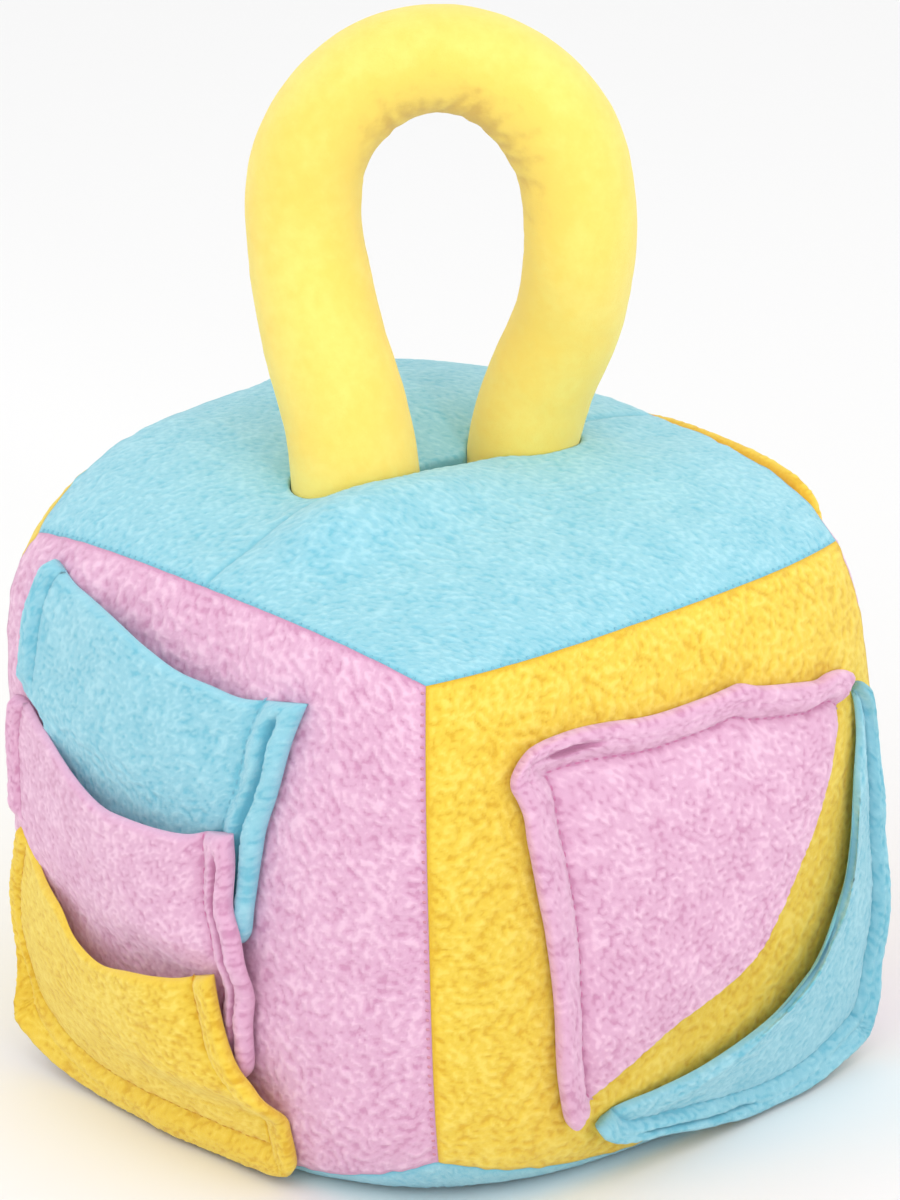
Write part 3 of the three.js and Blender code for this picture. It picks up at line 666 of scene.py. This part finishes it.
# Lines of a pocket's grid over a fin, in mm from its raw edge
FIN_LINES = np.array([
    0, 0.35, 0.9, 1.6, 2.3, 2.8, 3.2, 3.5, 3.75, 4, 4.3, 4.7, 5.3, 6.1, 6.9, 7.5, 8, 8.4, 8.8, 9.1,
])
GROOVE_LINE = 17  # the one of FIN_LINES that runs along the bottom of the groove
SEWN = FIN_LINES[-1]  # where a fin ends and the pocket's cloth begins
SLOT_PLACE = 3.75  # how far from the raw edge a slot runs
CORNER_FLARE_FALLOFF = 5  # a higher power keeps the flare nearer to the corner
FIN_END = {"drop": 1.9, "run": 2.6}  # how far a fin comes down where it ends at the mouth
RIM = {"outside": 1.8, "inside": 0.2, "run": 2}  # how far the rim of the mouth is rounded off
RAW_EDGE = 0.9  # how far a raw edge is lifted underneath, and how wide
HALF_CLOTH = 85  # half a face along its cloth
CLOTH_LINES = 80  # lines of a pocket's grid beside or between its fins


def patch(left, right, bottom, mouth):
    """A four-sided patch between four curves."""
    corner = [bottom(0), bottom(1), mouth(0), mouth(1)]

    def at(a, b):
        wide = a[..., None]
        high = b[..., None]
        place = bottom(a) * (1 - high) + mouth(a) * high + left(b) * (1 - wide) + right(b) * wide
        place = place - corner[0] * (1 - wide) * (1 - high) - corner[1] * wide * (1 - high)
        return place - corner[2] * (1 - wide) * high - corner[3] * wide * high

    return at


def steps_across(length, start_width, end_width):
    """Places over a pocket in mm, fine over its fins and even between, and their share of the way between."""
    start = FIN_LINES[-1] * start_width
    end = FIN_LINES[-1] * end_width
    inside = np.linspace(0, 1, CLOTH_LINES)
    parts = [start + inside * (length[..., None] - start - end)]
    shares = [inside]
    count = len(FIN_LINES) - 1
    if start_width:
        parts.insert(0, np.broadcast_to(FIN_LINES[:-1] * start_width, length.shape + (count,)))
        shares.insert(0, np.zeros(count))
    if end_width:
        parts.append(length[..., None] - FIN_LINES[-2::-1] * end_width)
        shares.append(np.ones(count))
    return np.concatenate(parts, axis=-1), np.concatenate(shares)


def rounded(x, y, radius):
    """Distances from two edges that meet in a corner, changed so that the corner is round."""
    u = np.clip(1 - x / radius, 0, None)
    v = np.clip(1 - y / radius, 0, None)
    near = (u > 0) & (v > 0)
    pull = np.maximum(u, v) / np.maximum(np.hypot(u, v), 1e-9)
    return np.where(near, radius * (1 - u * pull), x), np.where(near, radius * (1 - v * pull), y)


def even_steps(values, share):
    """Values given at even steps, joined smoothly, or 0 if there are none."""
    return spline(np.array(values, float)[:, None])(share)[..., 0] if values else 0 * share


def grid_normal(points, outward):
    """The way out of a grid of points, on the same side as outward."""
    normal = unit(np.cross(np.gradient(points, axis=0), np.gradient(points, axis=1)))
    return normal * np.sign(np.sum(normal * outward))


def pocket_grid(surface, widths):
    """Places over a pocket's grid, its size there, and shares of the way between its fins both ways."""
    def size(start, end):
        return np.linalg.norm(start - end, axis=-1) * HALF_WIDTH

    middle = np.array([0.5])
    widest = size(surface(middle * 0, middle), surface(middle * 2, middle))
    nominal, share_a = steps_across(widest, widths["left"], widths["right"])
    a = nominal[0] / nominal[0, -1]
    height = size(surface(a, a * 0), surface(a, a * 0 + 1))
    up, share_b = steps_across(height, widths["bottom"], 0)
    height = height[:, None]
    b = up / height
    width = size(surface(b * 0, b), surface(b * 0 + 1, b))
    rows, _ = steps_across(width, widths["left"], widths["right"])
    column = np.arange(len(a))[:, None]
    line = np.arange(b.shape[1])[None, :]
    across = rows[column, line, column]
    share_a, share_b = np.meshgrid(share_a, share_b, indexing="ij")
    return across, up, width, height, share_a, share_b


def round_corners(across, up, width, row):
    """The places over a pocket, changed so that the corners of its fins are round."""
    fins = row["fins"]
    if "left" in fins and "bottom" in fins:
        across, up = rounded(across, up, row["corner"])
    if "right" in fins and "bottom" in fins:
        from_right, up = rounded(width - across, up, row["corner"])
        across = width - from_right
    return across, up


def wave_fins(fins, surface, a, b, along, distance):
    """Places on the face with the fins' waves, how tall the fins are there, and the way out across them."""
    place = surface(a, b)
    inward = {
        "left": surface(a * 0 + 0.12, b) - surface(a * 0, b),
        "right": surface(a * 0 + 0.88, b) - surface(a * 0 + 1, b),
        "bottom": surface(a, b * 0 + 0.12) - surface(a, b * 0),
    }
    tallness = 0
    outward_way = 0
    weights = 0
    for side, (_, height, waves) in fins.items():
        outward_mm = even_steps(waves, along[side]) * (1 - smoothstep(distance[side], 2, 14))
        place = place - unit(inward[side]) * outward_mm[..., None] / HALF_WIDTH
        weight = 1 / (0.5 + distance[side]) ** 3
        tallness = tallness + weight * height
        outward_way = outward_way - weight[..., None] * unit(inward[side])
        weights = weights + weight
    return place, tallness / weights, outward_way / weights[..., None]


def cut_slots(slots, along, distance, edge, wobble):
    """Depth in mm of the gaps between the fins' cut edges, and from 0 to 1 how much painted shade they get."""
    depth = np.zeros_like(edge)
    painted_shade = np.zeros_like(edge)
    for side, start, end, deep, half_width in slots:
        own = distance[side]
        run = along[side]
        window = smoothstep(run, start, start + 0.08) * (1 - smoothstep(run, end - 0.08, end))
        window = window * (own <= edge + 0.4)
        gap = bell(own - SLOT_PLACE - wobble, half_width * (0.75 + 0.45 * window)) * window
        depth = depth + deep * gap
        painted_shade = painted_shade + gap
    return depth, painted_shade


def groove_paths(fins, grids):
    """Lines of the grids along the bottom of each fin's groove, where the stitches go."""
    above = slice(GROOVE_LINE if "bottom" in fins else 0, None)
    between = slice(GROOVE_LINE if "left" in fins else 0, -1 - GROOVE_LINE if "right" in fins else None)
    lines = {
        "left": (GROOVE_LINE, above),
        "right": (-1 - GROOVE_LINE, above),
        "bottom": (between, GROOVE_LINE),
    }
    return [[grid[lines[side]] for grid in grids] for side in fins]


def make_pocket(name, face, row, surface, stand_off, base, fin_share, material, seed):
    """A pocket: raised raw-edged fins where it is sewn, and cloth that stands off the panel to its mouth."""
    fins = row["fins"]
    widths = {side: fins[side][0] if side in fins else 0 for side in ("left", "right", "bottom")}
    across, up, width, height, share_a, share_b = pocket_grid(surface, widths)
    in_mm = {"left": across, "right": width - across, "bottom": up}
    distance = {side: in_mm[side] / widths[side] for side in fins}
    edge = np.minimum.reduce(list(distance.values()))
    across, up = round_corners(across, up, width, row)
    a = across / width
    b = up / height
    along = {"left": b, "right": b, "bottom": a}
    place, tallness, outward_way = wave_fins(fins, surface, a, b, along, distance)
    s = place[..., 0]
    t = place[..., 1]

    finned = fin_share(a, t)
    # a place in mm that changes along every fin, for the noise
    length = s * 55 + t * 75
    wobble = 0.45 * soft_noise(length / 9, length * 0 + seed, seed + 11)
    slot_depth, slot_shade = cut_slots(row["slots"], along, distance, edge, wobble)
    warped = edge + wobble * np.sin(math.pi * np.clip(edge / SEWN, 0, 1))
    fin_height = np.interp(warped, FIN_SECTION[:, 0], FIN_SECTION[:, 1])
    fin_height = fin_height * (1 + 0.12 * soft_noise(length / 13, length * 0 + 3, seed + 12))
    fin_height = lerp(FLEECE, fin_height, tallness)
    to_mouth = height - up if "right" in fins else np.minimum(height - up, width - across)
    fin_end = np.clip(1 - to_mouth / FIN_END["run"], 0, 1) ** 2 * (1 - smoothstep(edge, SEWN - 2, SEWN))
    raised = lerp(FLEECE, fin_height - slot_depth - FIN_END["drop"] * fin_end, finned)

    corner_flare = row["flare"][1] * ((1 - a) * (1 - b)) ** CORNER_FLARE_FALLOFF
    flared = (row["flare"][0] + corner_flare) * finned * np.clip(1 - edge / 4, 0, 1)
    swell = row.get("puff", 0) * (1 - np.exp(-np.clip(edge - SEWN, 0, None) / 4))
    tucked = 1 - row.get("tuck", 0) * (1 - smoothstep(to_mouth, 0, 16))
    lift = np.where(edge < SEWN, flared, (stand_off(share_a, share_b) + swell) * tucked)
    low = SEAT + base(a, t) + lift

    on_pile = place * HALF_CLOTH + outward_way * (flared + raised)[..., None]
    curl, curl_up = curls(on_pile[..., 0], on_pile[..., 1], POCKET_CURLS, seed)
    on_cloth = smoothstep(edge, SEWN - 1, SEWN + 2.5)
    calm = np.maximum(on_cloth, 0.85) * smoothstep(to_mouth, -0.5, 2)
    round_off = np.clip(1 - to_mouth / RIM["run"], 0, 1) ** 2 * (1 - finned * (edge < SEWN))
    under = np.clip(1 - edge / RAW_EDGE, 0, 1) ** 2
    normal = face_normal(face, s, t)
    bottom = on_face(face, s, t)
    outer_points = bottom + normal * (low + raised - RIM["outside"] * round_off)[..., None]
    outer_points = outer_points + grid_normal(outer_points, normal) * (curl * calm)[..., None]
    inner_points = bottom + normal * (low + RIM["inside"] * round_off + RAW_EDGE * under)[..., None]
    outer_points[..., 2] = np.maximum(outer_points[..., 2], FLOOR_CLEARANCE + 1)
    inner_points[..., 2] = np.maximum(inner_points[..., 2], FLOOR_CLEARANCE)

    # Painted shade in the stitch grooves and in the slots between the fins' cut edges lowers the pile value
    groove_shade = bell(edge - FIN_LINES[GROOVE_LINE], 0.6) * np.maximum(finned, 0.3)
    fin_colour = 0.12 * finned * (1 - smoothstep(edge, SEWN - 1.5, SEWN))
    pile_and_shade = lerp(0.55, curl_up, calm) - slot_shade - 0.45 * groove_shade - fin_colour
    shell = Shell()
    outer = shell.add(outer_points, np.clip(pile_and_shade, 0, 1))
    inner = shell.add(inner_points, 0.2)
    shell.grid(outer)
    shell.grid(inner)
    shell.band(rim(outer), rim(inner))
    return shell.make("fleece_" + name, material), groove_paths(fins, (outer_points, normal, finned))


def make_tier_pocket(name, material, seed):
    row = TIER_POCKETS[name]
    left, right = row["left"], row["right"]
    bottom = [left[0], *row.get("bottom", []), right[0]]
    mouth = [left[-1], *row["mouth"], right[-1]]
    surface = patch(spline(left), spline(right), spline(bottom), spline(mouth))

    def stand_off(a, b):
        rise = np.where(a < 0.5, row["rises"], 0.6)
        return row["gape"] * np.sin(math.pi * np.clip(a, 0, 1)) ** rise * np.clip(b, 0, 1) ** row["opens"]

    def fin_share(a, t):
        return np.where(a > 0.5, 1, smoothstep(t, row["fin_from"], row["fin_from"] + 0.06))

    def base(a, t):
        start, end, lift = row["ride"]
        return lift * smoothstep(a, 0.3, 0.8) * smoothstep(t, start, end)

    return make_pocket(name, "front", row, surface, stand_off, base, fin_share, material, seed)


def make_corner_pocket(name, material, seed):
    row = CORNER_POCKETS[name]
    fin_a = row["fin_a"]
    fin_b = [fin_a[0], *row["fin_b"]]
    mouth = spline([fin_a[-1], *row["mouth"], fin_b[-1]])

    def right(b):
        return mouth(b / 2)

    def top(a):
        return mouth(1 - np.asarray(a) / 2)

    def stand_off(a, b):
        return row["gape"] * (np.clip(a, 0, 1) * np.clip(b, 0, 1)) ** 0.65

    surface = patch(spline(fin_b), right, spline(fin_a), top)
    return make_pocket(name, row["face"], row, surface, stand_off, lambda a, t: 0 * a,
                       lambda a, t: 0 * a + 1, material, seed)


def linear(red, green, blue):
    """A colour from its 0 to 255 values, as the shaders want it."""
    values = [value / 255 for value in (red, green, blue)]
    return [v / 12.92 if v <= 0.04045 else ((v + 0.055) / 1.055) ** 2.4 for v in values] + [1]


def material_tree(name):
    material = bpy.data.materials.new(name)
    material.use_nodes = True
    tree = material.node_tree
    return material, tree, tree.nodes["Principled BSDF"]


def feed(tree, node, inputs):
    """Sets a node's inputs, each to a value or to the output that feeds it."""
    for name, value in inputs.items():
        if isinstance(value, bpy.types.NodeSocket):
            tree.links.new(value, node.inputs[name])
        else:
            node.inputs[name].default_value = value


def add_node(tree, kind, inputs):
    node = tree.nodes.new("ShaderNode" + kind)
    feed(tree, node, inputs)
    return node


def pile_material(name, deep, middle, lit_tips, look):
    """Cloth with a pile: painted shade deep in the pile to painted light at its tips, uneven dye, fibres as
    bump.
    """
    material, tree, shader = material_tree(name)
    place = add_node(tree, "TexCoord", {}).outputs["Object"]
    pile_and_shade = add_node(tree, "Attribute", {})
    pile_and_shade.attribute_name = "pile_and_shade"
    uneven = add_node(tree, "TexNoise", {
        "Vector": place, "Scale": look["mottle"], "Detail": 4, "Roughness": 0.6,
    })
    spread = add_node(tree, "Math", {0: uneven.outputs["Fac"], 1: look["speck"], 2: -look["speck"] / 2})
    spread.operation = "MULTIPLY_ADD"
    mixed = add_node(tree, "Math", {0: pile_and_shade.outputs["Fac"], 1: spread.outputs[0]})
    ramp = add_node(tree, "ValToRGB", {"Fac": mixed.outputs[0]})
    colours = ramp.color_ramp
    colours.interpolation = "EASE"
    # The first colour is painted shade deep in the pile, the last is painted light at the tips
    colours.elements[0].color = linear(*deep)
    colours.elements[1].color = linear(*lit_tips)
    colours.elements.new(0.5).color = linear(*middle)
    fibres = add_node(tree, "TexNoise", {
        "Vector": place, "Scale": look["scale"], "Detail": 5, "Roughness": 0.65, "Distortion": 1.2,
    })
    bump = add_node(tree, "Bump", {
        "Height": fibres.outputs["Fac"], "Strength": 0.7, "Distance": look["depth"] * MM,
    })
    feed(tree, shader, {
        "Base Color": ramp.outputs["Color"],
        "Normal": bump.outputs["Normal"],
        "Roughness": 0.95,
        "Specular IOR Level": 0.15,
        "Sheen Weight": 0.6,
        "Sheen Roughness": 0.55,
        "Sheen Tint": linear(*[(value + 255) / 2 for value in lit_tips]),
        "Subsurface Weight": 0.12,
        "Subsurface Radius": (1, 1, 1),
        "Subsurface Scale": 1.2 * MM,
    })
    return material


def thread_material(name, colour):
    material, tree, shader = material_tree(name)
    place = add_node(tree, "TexCoord", {}).outputs["Object"]
    strands = add_node(tree, "TexWave", {"Vector": place, "Scale": 900, "Distortion": 2})
    bump = add_node(tree, "Bump", {
        "Height": strands.outputs["Fac"], "Strength": 0.5, "Distance": 0.08 * MM,
    })
    feed(tree, shader, {
        "Base Color": linear(*colour), "Normal": bump.outputs["Normal"], "Roughness": 0.7,
    })
    return material


# Along a stitch from -1 to 1, its thickness as a share of its radius, and how far it sinks in mm
THREAD_RINGS = [(-1, 0.4, 0.45), (-0.6, 0.9, 0.1), (0, 1, 0), (0.6, 0.9, 0.1), (1, 0.4, 0.45)]


def add_stitches(shell, path, normal, lie, look):
    """Short threads along a path in mm, sunk a little at their ends. lie is the way each of them lies."""
    steps = np.concatenate([[0], np.cumsum(np.linalg.norm(np.diff(path, axis=0), axis=1))])
    angle = np.arange(6) * math.pi / 3
    for place in np.arange(look["pitch"] / 2, steps[-1], look["pitch"]):
        def at(values):
            return np.array([np.interp(place, steps, values[:, k]) for k in range(3)])

        middle = at(path)
        up = unit(at(normal))
        along = unit(at(lie))
        across = np.cross(up, along)
        circle = np.cos(angle)[:, None] * up + np.sin(angle)[:, None] * across
        centres = []
        rings = []
        for share, thick, sink in THREAD_RINGS:
            centres.append(middle + along * share * look["length"] / 2 - up * (sink - look["proud"]))
            rings.append(shell.add(centres[-1] + look["radius"] * thick * circle))
        for ring, following in zip(rings, rings[1:]):
            shell.band(ring, following)
        for end in (0, -1):
            shell.close(rings[end], centres[end])


def along_path(path):
    return unit(np.gradient(path, axis=0))


# What each panel is cut from: colour, mesh spacing and seed of the curls
PANELS = {
    "front": ("pink", FINE, 101),
    "right": ("yellow", FINE, 121),
    "back": ("pink", COARSE, 141),
    "left": ("yellow", COARSE, 161),
}
# What each pocket is cut from: colour, width and length of the cut in metres, and its area
POCKET_CUTS = {
    "pocket_front_top": ("blue", 0.115, 0.095, 0.0085),
    "pocket_front_middle": ("pink", 0.1, 0.085, 0.0066),
    "pocket_front_bottom": ("yellow", 0.125, 0.08, 0.0078),
    "pocket_right_upper": ("pink", 0.13, 0.125, 0.0095),
    "pocket_right_lower": ("blue", 0.115, 0.12, 0.007),
    "pocket_back": ("yellow", 0.135, 0.14, 0.0115),
}
POCKET_SEEDS = range(301, 421, 20)
GROOVE_STITCH = {"pitch": 3.2, "length": 2.2, "radius": 0.28, "proud": 0.05}
# Rows of stitches beside the cube's seams: face, which of s and t stays at which end, and how many mm from
# the seam
SEAM_STITCH = {"pitch": 2.8, "length": 1.2, "radius": 0.42, "proud": 0.05}
SEAM_RUN = np.linspace(-0.97, 0.97, 230)
SEAM_ROWS = {
    # The mauve rows beside the pink seams are stitches, darker than the cloth as painted shade of the puckers
    # between them
    "mauve_pucker_shade": [("front", "s", 1, 0.9), ("back", "s", -1, 0.9)],
    "blue": [("top", "t", -1, 0.6), ("top", "s", 1, 0.6)],
}

# Floor, light and camera
LIGHT_TARGET = (0, 0, 0.12)
HANDLE_TARGET = (0, 0.048, 0.2)
FLOOR = {"radius": 6, "below": 0.0003, "colour": (0.88, 0.88, 0.88, 1)}
CAMERA_PLACE = np.array([1.0433, -0.9467, 0.6515])
CAMERA_RIGHT = np.array([0.68, 0.7329, -0.0237])
CAMERA_UP = np.array([-0.2367, 0.25, 0.9389])
CAMERA_LENS = 161.8


def add_turned(name, data, place, right, up, back):
    """An object with its own three directions, as a lamp or a camera needs it."""
    item = add_object(name, data)
    item.location = place
    item.rotation_mode = "QUATERNION"
    item.rotation_quaternion = Matrix(np.stack([right, up, back], axis=1).tolist()).to_quaternion()
    return item


def add_light(lamp, azimuth, elevation, distance, target=LIGHT_TARGET):
    """A lamp that faces the target. Azimuth 0 is in front of the -Y side."""
    around = math.radians(azimuth)
    raised = math.radians(elevation)
    level = math.cos(raised)
    back = np.array([math.sin(around) * level, -math.cos(around) * level, math.sin(raised)])
    right = unit(np.cross([0, 0, 1], back))
    add_turned(lamp.name, lamp, back * distance + np.array(target), right, np.cross(back, right), back)


def soft_box(name, size, power):
    lamp = bpy.data.lights.new(name, "AREA")
    lamp.size = size
    lamp.energy = power
    return lamp


def soft_spot(name, degrees, power):
    lamp = bpy.data.lights.new(name, "SPOT")
    lamp.spot_size = math.radians(degrees)
    lamp.spot_blend = 1
    lamp.shadow_soft_size = 0.12
    lamp.energy = power
    return lamp


def add_floor():
    mesh = bpy.data.meshes.new("floor")
    form = bmesh.new()
    bmesh.ops.create_circle(form, cap_ends=True, segments=96, radius=FLOOR["radius"])
    form.to_mesh(mesh)
    form.free()
    floor = add_object("floor", mesh)
    floor.location = (0, 0, -FLOOR["below"])
    material, tree, shader = material_tree("floor")
    feed(tree, shader, {"Base Color": FLOOR["colour"], "Roughness": 0.9})
    mesh.materials.append(material)


def add_world():
    world = bpy.data.worlds.new("studio")
    world.use_nodes = True
    feed(world.node_tree, world.node_tree.nodes["Background"], {"Color": (1, 1, 1, 1), "Strength": 1})
    bpy.context.scene.world = world
    bpy.context.scene.view_settings.view_transform = "Standard"


def add_camera():
    data = bpy.data.cameras.new("camera")
    data.sensor_width = 36
    data.lens = CAMERA_LENS
    data.clip_start = 0.05
    back = np.cross(CAMERA_RIGHT, CAMERA_UP)
    bpy.context.scene.camera = add_turned("camera", data, CAMERA_PLACE, CAMERA_RIGHT, CAMERA_UP, back)


FLEECE_BUMP = {"scale": 1300, "depth": 0.45, "mottle": 700, "speck": 0.5}
PLUSH_BUMP = {"scale": 1500, "depth": 0.3, "mottle": 300, "speck": 0.4}
# Colours deep in the pile, halfway up and at its tips, in 0 to 255 values. The deep ones are painted shade and
# the tip ones painted light; for the plush the deep one is also the painted shade of its inner bend and
# creases
PILE_SHADE_COLOURS = {
    "fleece_blue": ((112, 190, 211), (145, 205, 221), (166, 218, 231)),
    "fleece_pink": ((208, 146, 182), (226, 176, 206), (242, 200, 224)),
    "fleece_yellow": ((224, 178, 46), (239, 205, 72), (248, 220, 98)),
    "plush_yellow": ((216, 174, 82), (246, 214, 101), (248, 227, 122)),
}
THREAD_COLOURS = {
    "blue": (122, 184, 204),
    "pink": (208, 130, 172),
    "yellow": (214, 156, 44),
    # The mauve thread is darker than the pink cloth: stitches, and painted shade of the puckers between them
    "mauve_pucker_shade": (206, 142, 160),
}

cloth = {}
for name, colours in PILE_SHADE_COLOURS.items():
    cloth[name] = pile_material(name, *colours, PLUSH_BUMP if name == "plush_yellow" else FLEECE_BUMP)
threads = {name: thread_material("thread_" + name, colour) for name, colour in THREAD_COLOURS.items()}

body = make_body(cloth["fleece_blue"])
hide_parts("stuffed_body")

for name, (colour, step, seed) in PANELS.items():
    panel = make_panel(name, step, cloth["fleece_" + colour], seed)
    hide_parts("panel_" + name)

handle = make_handle(cloth["plush_yellow"])
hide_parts("handle")

for seed, (name, (colour, width, length, area)) in zip(POCKET_SEEDS, POCKET_CUTS.items()):
    maker = make_tier_pocket if name in TIER_POCKETS else make_corner_pocket
    pocket, grooves = maker(name, cloth["fleece_" + colour], seed)
    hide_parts(name)
    rows = Shell()
    for path, normal, finned in grooves:
        shown = finned > 0.5
        if shown.sum() > 2:
            add_stitches(rows, path[shown], normal[shown], along_path(path[shown]), GROOVE_STITCH)
    stitches = rows.make("stitches_" + name, threads[colour])

for thread, seam_rows in SEAM_ROWS.items():
    rows = Shell()
    for name, fixed, end, inset in seam_rows:
        half_s, half_t = half_sizes(name)
        beside = end * (1 - inset / (half_s if fixed == "s" else half_t)) + 0 * SEAM_RUN
        s, t = (beside, SEAM_RUN) if fixed == "s" else (SEAM_RUN, beside)
        look, seed = (TOP_CURLS, TOP_SEED) if name == "top" else (PANEL_CURLS, PANELS[name][2])
        path, _ = dressed_face(name, s, t, look, seed)
        normal = face_normal(name, s, t)
        add_stitches(rows, path, normal, np.cross(normal, along_path(path)), SEAM_STITCH)
    stitches = rows.make("stitches_seams_" + thread, threads[thread])

add_floor()
add_world()
add_light(soft_box("key", 1.9, 7), 50, 55, 1.6)
add_light(soft_box("left", 0.8, 2.4), 20, 32, 1.8)
add_light(soft_box("right", 1, 1.5), 85, 22, 1.8)
add_light(soft_spot("handle", 7.5, 34), 75, 14, 1.2, HANDLE_TARGET)
add_camera()
